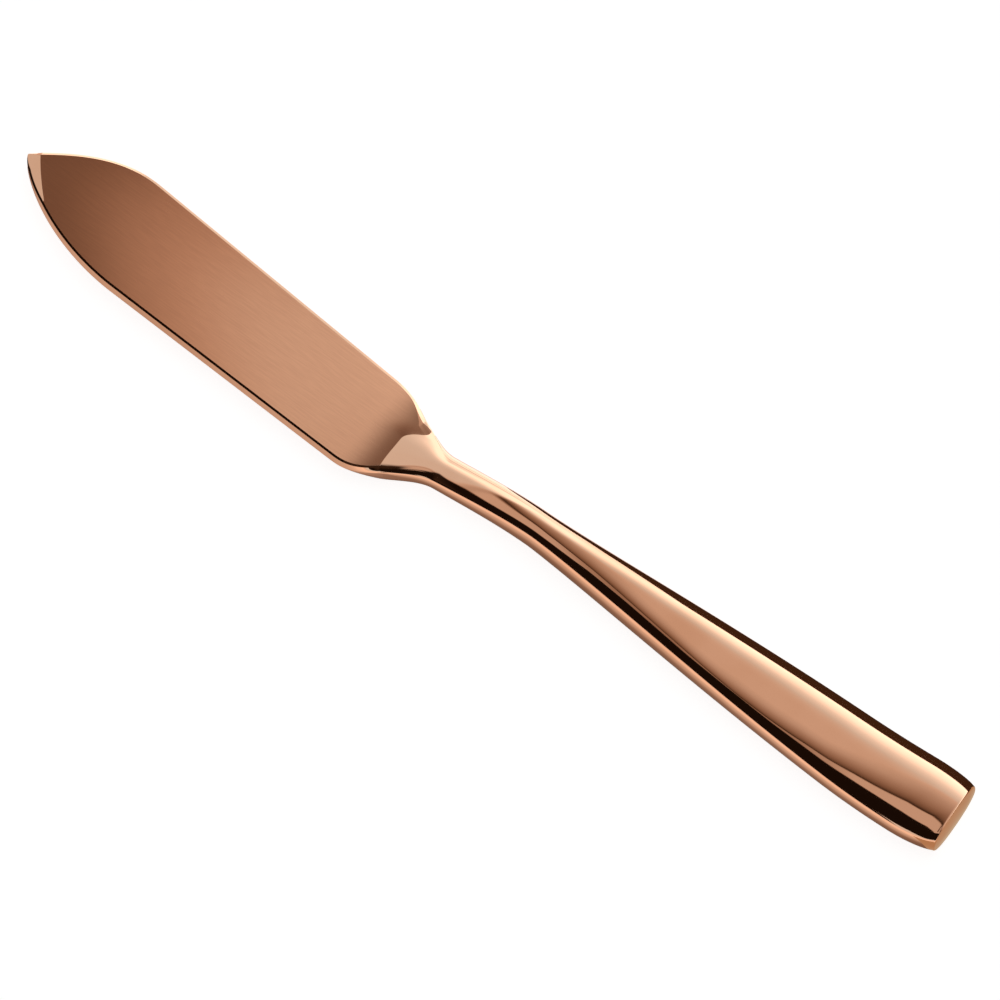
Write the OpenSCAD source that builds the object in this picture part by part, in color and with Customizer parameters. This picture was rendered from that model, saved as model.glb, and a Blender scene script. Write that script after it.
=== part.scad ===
// Table butter knife: a leaf-shaped blade, forged in one with its bolster and tang, set in a hollow handle
// that is pressed as two half shells, closed by a plate at the butt and filled round the tang.
// X runs from the tip to the butt, +Y is the spine side, and the knife lies on the back of its handle.

/* [Blade] */
// Length from the tip to the plunge line, where the blade meets the bolster
blade_len = 71.2; // [55:0.2:100]
// Greatest width of the blade
blade_w = 17.05; // [13:0.05:22]
// Width of the blade where it starts to narrow to the neck
heel_w = 15.4; // [11:0.1:20]
// Thickness of the blade
blade_t = 2.4; // [2:0.05:3]
// Thickness of the blade at its tip
tip_t = 2; // [2:0.05:2.4]
// Length of the nose on the spine side, from the tip to the full width
spine_nose = 18.2; // [12:0.2:28]
// Length of the nose on the cutting side, from the tip to the full width
edge_nose = 22.4; // [12:0.2:28]
// Turn of the blade towards its spine side, in degrees
blade_turn = 2.85; // [0:0.05:6]
// How far the blade's middle lies to the cutting side of the handle's, at the plunge line
heel_drop = 2.45; // [0:0.05:3]
// Lean of the cutting edge's steep faces for each millimetre of their height
edge_lean = 0.43; // [0.1:0.01:0.6]
// Width of the bevels above the cutting edge's steep faces
edge_bevel = 0.3; // [0.2:0.05:0.6]
// Depth of those bevels
bevel_depth = 0.25; // [0.1:0.05:0.25]
// Width of the bevels along the spine
spine_bevel = 0.35; // [0.2:0.05:0.8]
// Depth of the spine's bevels for each millimetre of their width
spine_slope = 0.5; // [0.3:0.05:0.6]
// Length of the facets ground on the cutting side of the tip
facet_len = 6.8; // [5:0.1:10]
// Width of a tip facet, if carried on to the very point
facet_w = 3.1; // [2:0.1:5]
// Depth of a tip facet at the point
facet_depth = 0.7; // [0.3:0.05:0.7]
// Length of the point that is all facet, ahead of the flat face
point_len = 1.8; // [0.8:0.1:3]

/* [Bolster and neck] */
// Length of the bolster and neck, from the plunge line to the handle's shells
bolster_len = 16.8; // [15:0.2:26]
// Thickness of the bolster at the plunge line
plunge_t = 4; // [3.2:0.1:4.6]
// Length of the hollow ramp that rises from the blade to the plunge line
ramp_len = 5.2; // [3:0.1:8]
// How far the plunge line curves back at the cutting side
edge_bow = 0.6; // [0:0.1:1.2]
// How far the plunge line swings back at the spine side
spine_bow = 2.8; // [0:0.1:3.2]
// Length over which those curves fade out, into the blade and into the bolster
bow_fade = 7; // [6:0.5:12]
// Extra width of the spine's bevel where the shoulder starts
shoulder_bevel = 1.6; // [0.5:0.1:2]
// Length over which the spine's bevel widens, a fifth of it ahead of the ramp's foot
shoulder_bevel_len = 4; // [3:0.5:8]
// Length over which the section gets as round as the neck, from the foot of the ramp
round_len = 13; // [10:0.5:16]
// Where the blade starts to narrow, ahead of the plunge line
shoulder_lead = 6.8; // [4:0.1:10]
// Length over which the blade narrows to the neck
shoulder_len = 14.6; // [11:0.1:18]
// Width of the neck
neck_w = 5.55; // [5.2:0.05:8]
// Length over which the bolster and handle thicken to the full thickness
rise_len = 58; // [45:1:70]
// Length over which the blade's offset swings back to the handle's middle line
crank_len = 31.5; // [26:0.5:44]

/* [Handle] */
// Length of the handle, from its front seam to the butt
handle_len = 82; // [70:0.5:120]
// Thickness of the handle where it is fullest
handle_t = 7.4; // [6.8:0.1:9]
// Greatest width of the handle, near the butt
butt_w = 12.9; // [10:0.1:18]
// Length over which the handle's section fills out from the neck's round one
fill_len = 30; // [20:0.5:60]
// Length of the parallel neck behind the seam, before the handle flares
neck_lead = 7; // [2:0.2:10]
// Length over which the handle flares to its greatest width
flare_len = 71.5; // [50:0.5:74]
// How far the butt leans to the spine side
butt_lean = 1.2; // [0:0.05:2]
// Length over which the butt leans
lean_len = 20; // [10:0.5:30]
// How far the butt's cut runs forward on the spine side, for each millimetre across
butt_skew = 0.07; // [0:0.01:0.08]
// Length of the rounded corners in plan at the butt
corner_len = 7.7; // [3:0.1:10]
// Depth of the rounded corners in plan at the butt
corner_depth = 1.45; // [0.2:0.05:1.6]
// Depth of the flat on the back that the knife rests on
rest_flat = 0.1; // [0.05:0.01:0.2]

/* [Inside the handle] */
// Wall of the pressed shells
wall = 0.8; // [0.5:0.05:1]
// Length of the bolster's spigot inside the shells, with the braze
spigot_len = 5; // [3:0.1:8]
// Length of the brazed joint between the bolster and the shells
braze_len = 0.2; // [0.1:0.05:0.5]
// Length of the tang behind the spigot
tang_len = 42; // [25:0.5:55]
// Width of the tang
tang_w = 2.4; // [1.8:0.1:2.6]
// Thickness of the tang
tang_t = 2.2; // [1.6:0.1:2.6]
// Number of notches across the tang that key it into the filler
notch_count = 3; // [1:1:4]
// Radius of a notch
notch_r = 0.6; // [0.3:0.05:0.7]
// Thickness of the plate that closes the butt
plate_t = 1.6; // [1.2:0.1:2.5]
// Length of the plate's step inside the shells
plate_step = 1.4; // [0.8:0.1:3]
// Rounding of the plate's outer edge
plate_edge = 0.3; // [0.1:0.05:0.5]
// Bow of the plate's outer face
plate_bow = 0.3; // [0.1:0.05:0.6]
// Film of braze or cement between pieces that fit into each other
film = 0.05; // [0.03:0.01:0.1]

/* [Hidden] */

// Powers that set how full a curve is: the two sides of the nose, the shoulders, the handle's flare, the
// rounded sections of the bolster, the neck and the handle, the cutting side's bow of the plunge line, and
// the widening of the spine's bevel
spine_fullness = 1.1;
edge_fullness = 0.73;
shoulder_haste = 1.13;
flare_haste = 0.72;
bolster_power = 6;
neck_power = 2.1;
handle_power = 2.25;
edge_bow_power = 6;
widening_power = 2;

// Share of the spine bevel's widening that lies ahead of the ramp's foot
widening_lead = 0.2;

// Where the spine side's bow starts and how wide it is, as shares of the half width
bow_start = 0.1;
bow_width = 0.7;

// How far behind the plunge line the section's flats and corners end, and its points have spread round it
corner_end = 1.5;
spread_len = 4;

// Least share of a blade section that its flat top keeps, and the strip of it kept next to the cutting edge
least_top = 0.05;
least_facet = 0.12;

// Half the length over which the slope of the plan's sides is measured
slope_step = 0.05;

// Length over which the sections turn to the butt's skewed cut
skew_len = 12;

// Segments of the sections and stations along the knife
half_steps = 18;
spine_steps = 3;
ring_steps = 2 * half_steps;
nose_steps = 15;
nose_crowding = 2.2;
leaf_steps = 6;
fade_steps = 8;
ramp_steps = 5;
bolster_steps = 12;
handle_steps = 30;
corner_steps = 7;
dome_steps = 4;
edge_steps = 3;
spigot_steps = 4;

// Places along the knife, measured from the tip
plunge_x = blade_len;
ramp_x = plunge_x - ramp_len;
shoulder_x = plunge_x - shoulder_lead;
seam_x = plunge_x + bolster_len;
shell_x = seam_x + braze_len;
flare_x = seam_x + neck_lead;
overall_len = seam_x + handle_len;
plate_x = overall_len - plate_t;
spigot_end_x = seam_x + spigot_len;
corner_x = overall_len - corner_len;
step_x = plate_x - plate_step;
rim_x = overall_len - plate_edge - plate_bow;

// How far the pieces that fit inside the shells lie below the handle's outside
inner_inset = wall + film;

function limit(t) = max(0, min(1, t));
function ease(t) = let (s = limit(t)) s * s * (3 - 2 * s);
function mix(a, b, t) = a + (b - a) * t;

// Plan of the blade: two nose curves that end at the full width, then a straight taper to the heel
function leaf_half(x, nose, fullness) =
    mix(blade_w, heel_w, limit((x - nose) / (shoulder_x - nose))) / 2
    * pow(1 - pow(1 - limit(x / nose), 2), fullness);
function blade_axis(x) = tan(blade_turn) * (plunge_x - x) - heel_drop;

// The middle line's swing from the blade's offset back to the handle's axis, a cubic with both end slopes
function crank(x) =
    let (t = limit((x - shoulder_x) / crank_len))
    blade_axis(shoulder_x) * (1 - ease(t)) - tan(blade_turn) * crank_len * t * (1 - t) * (1 - t);
function lean(x) = butt_lean * pow(limit((x - (overall_len - lean_len)) / lean_len), 2);

// Half width behind the heel: shoulders to the neck, the flare to the butt, and the butt's rounded corners
function corner(x) =
    let (r = limit((x - corner_x) / corner_len))
    corner_depth * (1 - sqrt(1 - r * r));
function stem_half(x) =
    mix(heel_w, neck_w, ease(pow(limit((x - shoulder_x) / shoulder_len), shoulder_haste))) / 2
    + (butt_w - neck_w) / 2 * ease(pow(limit((x - flare_x) / flare_len), flare_haste))
    - corner(x);

// Spine side and cutting side of the plan, and from them the middle and half width of any section
function spine_half(x) = x < shoulder_x ? leaf_half(x, spine_nose, spine_fullness) : stem_half(x);
function edge_half(x) = x < shoulder_x ? leaf_half(x, edge_nose, edge_fullness) : stem_half(x);
function axis_y(x) = x < shoulder_x ? blade_axis(x) : crank(x) + lean(x);
function spine_y(x) = axis_y(x) + spine_half(x);
function edge_y(x) = axis_y(x) - edge_half(x);
function middle(x) = (spine_y(x) + edge_y(x)) / 2;
function half_width(x) = (spine_y(x) - edge_y(x)) / 2;

// Half thickness: the blade, the hollow ramp up to the plunge line, then the rise to the full handle
function full_half(x) =
    x < ramp_x ? mix(tip_t, blade_t, ease(x / edge_nose)) / 2 :
    x < plunge_x ? mix(blade_t, plunge_t, pow((x - ramp_x) / ramp_len, 2)) / 2 :
    mix(plunge_t, handle_t, 1 - pow(1 - limit((x - plunge_x) / rise_len), 2)) / 2;

// The tip's facets: how far their outer side lies below the flat face, and the fall of the point itself
function facet_drop(x) = facet_depth * limit(1 - x / facet_len);
function half_thick(x) = full_half(x) - facet_drop(x) * (1 - limit(x / point_len));

// A rounded section of half width 1 and half thickness 1, at an angle from the spine side over the front
function power_at(x) = mix(neck_power, handle_power, ease((x - seam_x) / fill_len));
function signed_pow(v, p) = sign(v) * pow(abs(v), p);
function round_point(angle, power) = [signed_pow(cos(angle), 2 / power), signed_pow(sin(angle), 2 / power)];

// How much longer a width square to the outline gets when it is measured straight across the blade
function spine_stretch(x) = norm([1, (spine_y(x + slope_step) - spine_y(x - slope_step)) / (2 * slope_step)]);
function edge_stretch(x) = norm([1, (edge_y(x + slope_step) - edge_y(x - slope_step)) / (2 * slope_step)]);

// The blade's flat section in the same unit form. Across: the ends of the spine's bevel, the flat top, the
// facet and the edge's bevel. Up: the spine's wall, the facet's foot and the bevel's foot. At the point all
// the widths shrink together to fit.
function spine_bevel_at(x) =
    let (widening = limit((x - ramp_x) / shoulder_bevel_len + widening_lead))
    spine_bevel + shoulder_bevel * pow(widening, widening_power);
function flat_corners(x) =
    let (
        half = half_width(x),
        thick = half_thick(x),
        slant = edge_lean * (full_half(x) - facet_drop(x) - bevel_depth) * edge_stretch(x),
        bevel = edge_bevel * edge_stretch(x),
        facet = least_facet + facet_w * limit(1 - x / facet_len),
        spine = spine_bevel_at(x) * spine_stretch(x),
        fit = min(1, (1 - least_top) * 2 * half / (slant + bevel + facet + spine)),
        bevel_end = -1 + fit * slant / half,
        facet_end = bevel_end + fit * bevel / half,
        top_end = facet_end + fit * facet / half,
        spine_end = 1 - fit * spine / half,
        spine_wall = 1 - fit * spine_slope * spine_bevel_at(x) / thick,
        facet_foot = (full_half(x) - facet_drop(x)) / thick,
        bevel_foot = facet_foot - fit * bevel_depth / thick
    )
    [spine_end, top_end, facet_end, bevel_end, spine_wall, facet_foot, bevel_foot];

// Point k of half_steps over the front, counted from the spine side, with spine_steps along the spine's bevel
function flat_across(k, corners) =
    k <= 1 ? 1 :
    k <= 1 + spine_steps ? mix(1, corners[0], (k - 1) / spine_steps) :
    k == half_steps ? -1 :
    k == half_steps - 1 ? corners[3] :
    k == half_steps - 2 ? corners[2] :
    mix(corners[0], corners[1], (k - 1 - spine_steps) / (half_steps - 4 - spine_steps));
function flat_up(k, corners) =
    k == 0 || k == half_steps ? 0 :
    k <= 1 + spine_steps ? mix(corners[4], 1, (k - 1) / spine_steps) :
    k == half_steps - 1 ? corners[6] :
    k == half_steps - 2 ? corners[5] :
    1;
function round_up(across, power) = pow(1 - pow(min(1, abs(across)), power), 1 / power);

// A section of the forging: flat on the blade, rounded on the neck, its stations bowed round the plunge line.
// Heights start to round at the ramp's foot, and the points spread out to suit from the plunge line on.
function bow(across) =
    across < 0 ? edge_bow * pow(-across, edge_bow_power) : spine_bow * ease((across - bow_start) / bow_width);
function bow_window(x) = ease((x - ramp_x + bow_fade) / bow_fade) * (1 - ease((x - plunge_x) / bow_fade));
function forging_ring(x) =
    let (
        corners = flat_corners(x),
        share = ease((x - ramp_x) / (ramp_len + corner_end)),
        spread = ease((x - plunge_x) / spread_len),
        power = mix(bolster_power, neck_power, ease((x - ramp_x) / round_len))
    )
    [
        for (k = [0:ring_steps - 1])
        let (
            fold = min(k, ring_steps - k),
            side = k > half_steps ? -1 : 1,
            across = mix(flat_across(fold, corners), round_point(180 * fold / half_steps, power)[0], spread),
            up = mix(flat_up(fold, corners), round_up(across, power), share),
            bowed_x = x + bow(across) * bow_window(x)
        )
        [bowed_x, middle(bowed_x) + half_width(bowed_x) * across, side * half_thick(x) * up]
    ];

// A rounded section of the handle, drawn in all round by an inset, from one angle to another. Towards the
// butt the sections turn to the skew of its cut.
function skew(x) = butt_skew * ease(1 + (x - step_x) / skew_len);
function handle_arc(x, inset, from, to, steps) = [
    for (k = [0:steps])
    let (
        unit = round_point(mix(from, to, k / steps), power_at(x)),
        across = (half_width(x) - inset) * unit[0]
    )
    [x - skew(x) * across, middle(x) + across, (half_thick(x) - inset) * unit[1]]
];
function handle_ring(x, inset) = handle_arc(x, inset, 0, 360 * (1 - 1 / ring_steps), ring_steps - 1);

// The section of one place, set down at another
function moved_ring(x, place, inset) = [for (p = handle_ring(place, inset)) [p[0] + x - place, p[1], p[2]]];

// Side faces between neighbouring rings of one size, and flat caps on the first and last ring
function side_faces(rings, size, wrap = false) = [
    for (i = [0:rings - (wrap ? 1 : 2)], k = [0:size - 1])
    let (
        next_i = (i + 1) % rings,
        next_k = (k + 1) % size,
        a = i * size + k,
        b = i * size + next_k,
        c = next_i * size + next_k,
        d = next_i * size + k
    )
    each [[a, d, c], [a, c, b]]
];
function cap_faces(rings, size) = [
    [for (k = [0:size - 1]) k],
    [for (k = [size - 1:-1:0]) (rings - 1) * size + k]
];
function joined(rings) = [for (ring = rings) each ring];

module solid_of(rings) {
    size = len(rings[0]);
    polyhedron(joined(rings), concat(side_faces(len(rings), size), cap_faces(len(rings), size)));
}

// A closed band: the last ring joins the first
module band_of(rings) {
    polyhedron(joined(rings), side_faces(len(rings), len(rings[0]), true));
}

// A half shell: each ring is the outer arc and then the inner arc back, so each end is a row of flat quads
module half_shell_of(rings) {
    size = len(rings[0]);
    last = (len(rings) - 1) * size;
    front_end = [for (k = [0:size / 2 - 2]) [k, k + 1, size - 2 - k, size - 1 - k]];
    back_end = [for (quad = front_end) [for (n = [3:-1:0]) last + quad[n]]];
    polyhedron(joined(rings), concat(side_faces(len(rings), size), front_end, back_end));
}

// Stations along the knife
nose_stations = [for (i = [1:nose_steps]) edge_nose * pow(i / nose_steps, nose_crowding)];
leaf_stations = [for (i = [1:leaf_steps]) mix(edge_nose, ramp_x - bow_fade, i / leaf_steps)];
fade_stations = [for (i = [1:fade_steps]) mix(ramp_x - bow_fade, ramp_x, i / fade_steps)];
ramp_stations = [for (i = [1:ramp_steps]) mix(ramp_x, plunge_x, i / ramp_steps)];
bolster_stations = [for (i = [1:bolster_steps]) mix(plunge_x, seam_x, i / bolster_steps)];
forging_stations = concat(nose_stations, leaf_stations, fade_stations, ramp_stations, bolster_stations);
forging_rings = [for (x = forging_stations) forging_ring(x)];
spigot_stations = [for (i = [0:spigot_steps]) mix(seam_x, spigot_end_x, i / spigot_steps)];
function handle_stations(from) = concat(
    [for (i = [0:handle_steps - 1]) mix(from, corner_x, i / handle_steps)],
    [for (i = [0:corner_steps]) mix(corner_x, plate_x, i / corner_steps)]
);

// The butt's plate: a step inside the shells, a rounded edge and a slightly bowed face
plate_rings = concat(
    [moved_ring(step_x, plate_x, inner_inset), handle_ring(plate_x, inner_inset)],
    [handle_ring(plate_x, 0), handle_ring(rim_x, 0)],
    [
        for (i = [1:edge_steps])
        let (angle = 90 * i / edge_steps)
        moved_ring(rim_x + plate_edge * sin(angle), rim_x, plate_edge * (1 - cos(angle)))
    ],
    [
        for (i = [1:dome_steps])
        let (
            share = i / (dome_steps + 1),
            face_x = overall_len - plate_bow * pow(1 - share, 2)
        )
        moved_ring(face_x, rim_x, mix(plate_edge, half_thick(rim_x), share))
    ]
);

// The knife's box, so that its middle stands over the origin and its rest flat lies on the ground
forging_y = [for (ring = forging_rings, p = ring) p[1]];
spine_reach = max(concat(forging_y, [for (x = handle_stations(shell_x)) spine_y(x)]));
edge_reach = min(concat(forging_y, [for (x = handle_stations(shell_x)) edge_y(x)]));
tip_reach = min([for (ring = forging_rings, p = ring) p[0]]);
butt_reach = max([for (ring = plate_rings, p = ring) p[0]]);

module laid_down() {
    box_middle = [tip_reach + butt_reach, spine_reach + edge_reach] / 2;
    translate([-box_middle[0], -box_middle[1], handle_t / 2 - rest_flat])
        children();
}

// Takes away what reaches below the rest flat on the back of the neck and the handle
module rest_flat_cut() {
    cut_h = handle_t;
    cut_len = overall_len - plunge_x + handle_t;
    difference() {
        children();
        translate([plunge_x, -butt_w, rest_flat - handle_t / 2 - cut_h])
            cube([cut_len, 2 * butt_w, cut_h]);
    }
}

// Rat-tail tang, rooted in the middle of the spigot and notched on both sides
module tang() {
    root = spigot_len / 2;
    notch_pitch = tang_len / (notch_count + 1);
    translate([spigot_end_x, middle(spigot_end_x), 0])
        difference() {
            translate([-root, -tang_w / 2, -tang_t / 2])
                cube([tang_len + root, tang_w, tang_t]);
            for (i = [1:notch_count], side = [-1, 1])
                translate([i * notch_pitch, side * tang_w / 2, -tang_t])
                    cylinder(r = notch_r, h = 2 * tang_t, $fn = 32);
        }
}

// Forged and ground blade, bolster and spigot, with the tang that holds it in the handle
module blade() {
    color("#b98265")
        laid_down()
        rest_flat_cut()
        union() {
            solid_of(concat(forging_rings, [for (x = spigot_stations) handle_ring(x, inner_inset)]));
            tang();
        }
}

// Thin ring of braze between the bolster's shoulder and the shells
module bolster_braze_ring() {
    color("#c79a78")
        laid_down()
        rest_flat_cut()
        band_of([
            handle_ring(seam_x, 0),
            handle_ring(shell_x, 0),
            handle_ring(shell_x, wall),
            handle_ring(seam_x, wall)
        ]);
}

// One half of the handle's wall, from an angle round to the other side
module half_shell(from) {
    half_shell_of([
        for (x = handle_stations(shell_x))
        concat(
            handle_arc(x, 0, from, from + 180, half_steps),
            handle_arc(x, wall, from + 180, from, half_steps)
        )
    ]);
}

// Pressed front half of the handle
module handle_front_shell() {
    color("#cf9775")
        laid_down()
        half_shell(0);
}

// Pressed back half of the handle, with the flat it rests on
module handle_back_shell() {
    color("#c48c6b")
        laid_down()
        rest_flat_cut()
        half_shell(180);
}

// Plate that closes the butt
module butt_plate() {
    color("#b9876a")
        laid_down()
        rest_flat_cut()
        solid_of(plate_rings);
}

// Filler cast round the tang, between the spigot and the butt plate's step
module handle_filler() {
    start_x = spigot_end_x + film;
    end_x = step_x - film;
    inner_stations = [for (x = handle_stations(start_x)) if (x < end_x - film) x];
    color("#8f867b")
        laid_down()
        difference() {
            solid_of([for (x = concat(inner_stations, [end_x])) handle_ring(x, inner_inset)]);
            tang();
        }
}

blade();
bolster_braze_ring();
handle_front_shell();
handle_back_shell();
butt_plate();
handle_filler();
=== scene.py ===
import bpy
import numpy as np
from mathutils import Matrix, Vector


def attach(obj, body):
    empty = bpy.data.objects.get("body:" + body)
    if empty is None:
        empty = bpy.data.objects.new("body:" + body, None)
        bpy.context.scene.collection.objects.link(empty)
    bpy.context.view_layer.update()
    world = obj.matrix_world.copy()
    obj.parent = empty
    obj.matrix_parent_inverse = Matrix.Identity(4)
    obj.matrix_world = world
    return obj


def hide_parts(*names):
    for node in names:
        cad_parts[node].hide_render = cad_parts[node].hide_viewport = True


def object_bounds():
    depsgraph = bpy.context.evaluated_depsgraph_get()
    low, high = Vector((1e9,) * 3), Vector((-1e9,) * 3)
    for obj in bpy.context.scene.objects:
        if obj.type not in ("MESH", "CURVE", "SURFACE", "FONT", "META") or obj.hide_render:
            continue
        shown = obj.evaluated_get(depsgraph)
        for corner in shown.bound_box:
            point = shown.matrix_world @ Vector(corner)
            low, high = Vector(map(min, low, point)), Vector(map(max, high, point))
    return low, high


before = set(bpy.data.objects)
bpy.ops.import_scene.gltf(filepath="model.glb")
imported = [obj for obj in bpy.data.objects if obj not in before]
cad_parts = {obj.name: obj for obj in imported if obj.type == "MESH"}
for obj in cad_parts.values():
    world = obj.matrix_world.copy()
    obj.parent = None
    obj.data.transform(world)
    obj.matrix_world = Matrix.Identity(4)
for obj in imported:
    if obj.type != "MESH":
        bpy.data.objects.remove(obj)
cad_low, cad_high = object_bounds()

# Forged blade. One length of stainless steel, forged to the leaf and the round neck, ground with bevelled
# edges, satin up to the plunge line, polished on the bolster and coated rose gold. Its spigot and notched
# tang sit inside the handle, held by braze and filler. Sizes are in millimetres, with places from the tip.
mm_per_m = 1000
# The leaf: its outline, thickness and middle line
blade_len = 71.2
blade_w = 17.05
heel_w = 15.4
blade_t = 2.4
tip_t = 2
spine_nose = 18.2
edge_nose = 22.4
spine_fullness = 1.1
edge_fullness = 0.73
blade_turn_degrees = 2.85
heel_drop = 2.45
# Its edges and the facets at the tip
edge_lean = 0.43
edge_bevel = 0.3
bevel_depth = 0.25
spine_bevel = 0.35
spine_slope = 0.5
facet_len = 6.8
facet_w = 3.1
facet_depth = 0.7
point_len = 1.8
least_top = 0.05
least_facet = 0.12
# The ramp up to the plunge line, the bolster and the neck
bolster_len = 16.8
plunge_t = 4
ramp_len = 5.2
edge_bow = 0.6
edge_bow_power = 6
spine_bow = 2.8
bow_start = 0.1
bow_width = 0.7
bow_fade = 7
shoulder_bevel = 1.6
shoulder_bevel_len = 4
widening_power = 2
widening_lead = 0.2
round_len = 13
bolster_power = 6
corner_end = 1.5
spread_len = 4
shoulder_lead = 6.8
shoulder_len = 14.6
shoulder_haste = 1.13
neck_w = 5.55
neck_power = 2.1
rise_len = 58
crank_len = 31.5
# The handle's outline, which the neck and the spigot run into
handle_len = 82
handle_t = 7.4
handle_power = 2.25
fill_len = 30
butt_w = 12.9
neck_lead = 7
flare_len = 71.5
flare_haste = 0.72
butt_lean = 1.2
lean_len = 20
butt_skew = 0.07
skew_len = 12
corner_len = 7.7
corner_depth = 1.45
rest_flat = 0.1
plate_t = 1.6
plate_step = 1.4
# The wall round the spigot, and the tang
wall = 0.8
film = 0.05
spigot_len = 5
tang_len = 42
tang_w = 2.4
tang_t = 2.2
notch_count = 3
notch_r = 0.6

turn_slope = np.tan(np.radians(blade_turn_degrees))
plunge_x = blade_len
ramp_x = plunge_x - ramp_len
shoulder_x = plunge_x - shoulder_lead
seam_x = plunge_x + bolster_len
flare_x = seam_x + neck_lead
overall_len = seam_x + handle_len
corner_x = overall_len - corner_len
spigot_end_x = seam_x + spigot_len
plate_x = overall_len - plate_t
step_x = plate_x - plate_step

# Turns round a section, at which its straight runs end, counted from the spine side over the front
spine_wall_turn = 1
spine_bevel_turn = 4
face_turn = 15
facet_turn = 16
edge_bevel_turn = 17
half_turn = 18
tang_side_turn = 4


def limited(t):
    """The value held between 0 and 1."""
    return np.clip(t, 0.0, 1.0)


def eased(t):
    """A smooth step from 0 to 1: three squares less two cubes of the held value."""
    s = limited(t)
    return s * s * (3 - 2 * s)


def mixed(a, b, t):
    """The straight mix of a and b."""
    return a + (b - a) * t


def leaf_half(x, nose, fullness):
    """Half width of the blade on one side: a parabola over the nose, raised to a fullness, then a
    straight taper."""
    taper = mixed(blade_w, heel_w, limited((x - nose) / (shoulder_x - nose))) / 2
    return taper * (1 - (1 - limited(x / nose)) ** 2) ** fullness


def blade_axis(x):
    """Middle line of the blade: a straight line, turned to the spine side and set down at the heel."""
    return turn_slope * (plunge_x - x) - heel_drop


def stem_axis(x):
    """Middle line behind the heel: a cubic from the blade's line to the handle's, then the butt's
    parabolic lean."""
    t = limited((x - shoulder_x) / crank_len)
    crank = blade_axis(shoulder_x) * (1 - eased(t)) - turn_slope * crank_len * t * (1 - t) ** 2
    lean = butt_lean * limited((x - overall_len + lean_len) / lean_len) ** 2
    return crank + lean


def stem_half(x):
    """Half width behind the heel: eased shoulders, an eased flare, less the butt's elliptical corners."""
    shoulder = eased(limited((x - shoulder_x) / shoulder_len) ** shoulder_haste)
    flare = eased(limited((x - flare_x) / flare_len) ** flare_haste)
    corner = corner_depth * (1 - np.sqrt(1 - limited((x - corner_x) / corner_len) ** 2))
    return mixed(heel_w, neck_w, shoulder) / 2 + (butt_w - neck_w) / 2 * flare - corner


def spine_y(x):
    """The plan's spine side: the leaf up to the heel, the stem behind it."""
    on_blade = blade_axis(x) + leaf_half(x, spine_nose, spine_fullness)
    return np.where(x < shoulder_x, on_blade, stem_axis(x) + stem_half(x))


def edge_y(x):
    """The plan's cutting side: the leaf up to the heel, the stem behind it."""
    on_blade = blade_axis(x) - leaf_half(x, edge_nose, edge_fullness)
    return np.where(x < shoulder_x, on_blade, stem_axis(x) - stem_half(x))


def middle(x):
    """Middle between the plan's two sides."""
    return (spine_y(x) + edge_y(x)) / 2


def half_width(x):
    """Half the distance between the plan's two sides."""
    return (spine_y(x) - edge_y(x)) / 2


def full_half(x):
    """Half thickness: an eased rise along the nose, a parabolic ramp to the plunge line, a parabola
    to the handle."""
    on_blade = mixed(tip_t, blade_t, eased(x / edge_nose)) / 2
    on_ramp = mixed(blade_t, plunge_t, ((x - ramp_x) / ramp_len) ** 2) / 2
    on_stem = mixed(plunge_t, handle_t, 1 - (1 - limited((x - plunge_x) / rise_len)) ** 2) / 2
    return np.where(x < ramp_x, on_blade, np.where(x < plunge_x, on_ramp, on_stem))


def facet_drop(x):
    """How far the outer side of the tip's facets lies below the flat face: a straight fall towards
    the point."""
    return facet_depth * limited(1 - x / facet_len)


def half_thick(x):
    """Half thickness, less the fall of the point itself."""
    return full_half(x) - facet_drop(x) * (1 - limited(x / point_len))


def rounded(angle, power):
    """A superellipse of half axes 1: signed powers of the cosine and the sine."""
    across, up = np.cos(angle), np.sin(angle)
    return np.sign(across) * np.abs(across) ** (2 / power), np.sign(up) * np.abs(up) ** (2 / power)


def handle_rings(x, angle, inset):
    """Sections of the handle: superellipses that fill out along it, each half axis shortened by the inset.
    Towards the butt they turn with an eased step to the skew of its cut."""
    power = mixed(neck_power, handle_power, eased((x - seam_x) / fill_len))
    across, up = rounded(angle, power)
    skew = butt_skew * eased(1 + (x - step_x) / skew_len)
    across = (half_width(x) - inset) * across
    z = (half_thick(x) - inset) * up
    return np.stack(np.broadcast_arrays(x - skew * across, middle(x) + across, z), -1)


def stretch(side, x):
    """How much longer a width square to one side of the plan gets when it is measured straight across
    the blade: the length of the side's slope."""
    step = 0.05
    return np.sqrt(1 + ((side(x + step) - side(x - step)) / (2 * step)) ** 2)


def flat_corners(x):
    """Corners of the blade's flat section. Across, as shares of the half width: the ends of the spine's
    bevel, the flat top, the tip's facet and the edge's bevel. Up, as shares of the half thickness: the
    spine's wall, the facet's foot and the bevel's foot. At the point all widths shrink together to fit."""
    half, thick = half_width(x), half_thick(x)
    widening = limited((x - ramp_x) / shoulder_bevel_len + widening_lead) ** widening_power
    spine = spine_bevel + shoulder_bevel * widening
    spine_across = spine * stretch(spine_y, x)
    wall_height = full_half(x) - facet_drop(x) - bevel_depth
    slant, bevel = edge_lean * wall_height * stretch(edge_y, x), edge_bevel * stretch(edge_y, x)
    facet = least_facet + facet_w * limited(1 - x / facet_len)
    fit = np.minimum(1, (1 - least_top) * 2 * half / (slant + bevel + facet + spine_across))
    bevel_end = -1 + fit * slant / half
    facet_end = bevel_end + fit * bevel / half
    top_end = facet_end + fit * facet / half
    spine_end = 1 - fit * spine_across / half
    spine_wall = 1 - fit * spine_slope * spine / thick
    facet_foot = (full_half(x) - facet_drop(x)) / thick
    bevel_foot = facet_foot - fit * bevel_depth / thick
    return spine_end, top_end, facet_end, bevel_end, spine_wall, facet_foot, bevel_foot


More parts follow.
